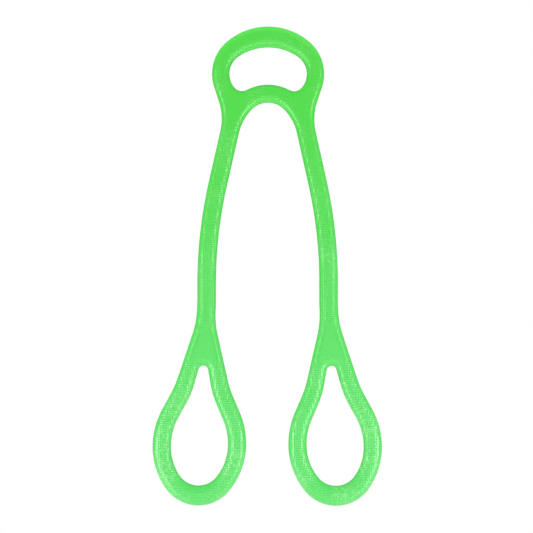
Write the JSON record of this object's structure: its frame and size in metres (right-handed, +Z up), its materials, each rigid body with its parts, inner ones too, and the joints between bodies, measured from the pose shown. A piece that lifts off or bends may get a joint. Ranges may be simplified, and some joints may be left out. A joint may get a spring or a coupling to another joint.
{
  "type": "stretch puller",
  "caption": "One-piece soft rubber stretch puller: a rounded hand grip with a humped cross-bar, a pair of bowed straps, and a teardrop loop at the end of each strap.",
  "frame": {"origin": "middle of the underside of the grip's crown, where the hand or a hook bears, half way through the thickness", "axes": "+Z up towards the crown with the straps hanging down, +X to the right as seen from the front, +Y away from the viewer through the thickness"},
  "size_m": [0.2158, 0.015, 0.4513],
  "materials": {
    "soft_rubber": "satin bright green thermoplastic rubber with a fine diamond grip texture"
  },
  "bodies": {
    "grip": {"grip_crown": "soft_rubber", "left_grip_side": "soft_rubber", "right_grip_side": "soft_rubber", "grip_bridge": "soft_rubber", "left_shoulder": "soft_rubber", "right_shoulder": "soft_rubber"},
    "left_root": {"left_strap_root": "soft_rubber"},
    "left_upper": {"left_strap_upper": "soft_rubber"},
    "left_lower": {"left_strap_lower": "soft_rubber"},
    "left_end": {"left_strap_end": "soft_rubber"},
    "left_loop": {"left_loop_neck": "soft_rubber", "left_loop_outer_side": "soft_rubber", "left_loop_inner_side": "soft_rubber", "left_loop_toe": "soft_rubber"},
    "right_root": {"right_strap_root": "soft_rubber"},
    "right_upper": {"right_strap_upper": "soft_rubber"},
    "right_lower": {"right_strap_lower": "soft_rubber"},
    "right_end": {"right_strap_end": "soft_rubber"},
    "right_loop": {"right_loop_neck": "soft_rubber", "right_loop_outer_side": "soft_rubber", "right_loop_inner_side": "soft_rubber", "right_loop_toe": "soft_rubber"}
  },
  "joints": [
    {"name": "left_swing", "type": "hinge", "parent": "grip", "child": "left_root", "pos_m": [-0.0379, 0, -0.0879], "axis": [0, 1, 0], "range_deg": [-3, 45], "stiffness_Nm_per_rad": 0.25},
    {"name": "left_fold", "type": "hinge", "parent": "left_root", "child": "left_upper", "pos_m": [-0.04698, 0, -0.12819], "axis": [-1, 0, 0], "range_deg": [-85, 85], "stiffness_Nm_per_rad": 0.12},
    {"name": "left_stretch", "type": "slide", "parent": "left_upper", "child": "left_lower", "axis": [-0.1106, 0, -0.9939], "range_m": [0, 0.12], "stiffness_N_per_m": 600},
    {"name": "left_twist", "type": "hinge", "parent": "left_lower", "child": "left_end", "pos_m": [-0.0575, 0, -0.22272], "axis": [0, 0, 1], "range_deg": [-90, 90], "stiffness_Nm_per_rad": 0.06},
    {"name": "left_tilt", "type": "hinge", "parent": "left_end", "child": "left_loop", "pos_m": [-0.0575, 0, -0.24272], "axis": [1, 0, 0], "range_deg": [-75, 75], "stiffness_Nm_per_rad": 0.12},
    {"name": "right_swing", "type": "hinge", "parent": "grip", "child": "right_root", "pos_m": [0.0379, 0, -0.0879], "axis": [0, -1, 0], "range_deg": [-3, 45], "stiffness_Nm_per_rad": 0.25},
    {"name": "right_fold", "type": "hinge", "parent": "right_root", "child": "right_upper", "pos_m": [0.04698, 0, -0.12819], "axis": [-1, 0, 0], "range_deg": [-85, 85], "stiffness_Nm_per_rad": 0.12},
    {"name": "right_stretch", "type": "slide", "parent": "right_upper", "child": "right_lower", "axis": [0.1106, 0, -0.9939], "range_m": [0, 0.12], "stiffness_N_per_m": 600},
    {"name": "right_twist", "type": "hinge", "parent": "right_lower", "child": "right_end", "pos_m": [0.0575, 0, -0.22272], "axis": [0, 0, -1], "range_deg": [-90, 90], "stiffness_Nm_per_rad": 0.06},
    {"name": "right_tilt", "type": "hinge", "parent": "right_end", "child": "right_loop", "pos_m": [0.0575, 0, -0.24272], "axis": [1, 0, 0], "range_deg": [-75, 75], "stiffness_Nm_per_rad": 0.12}
  ]
}
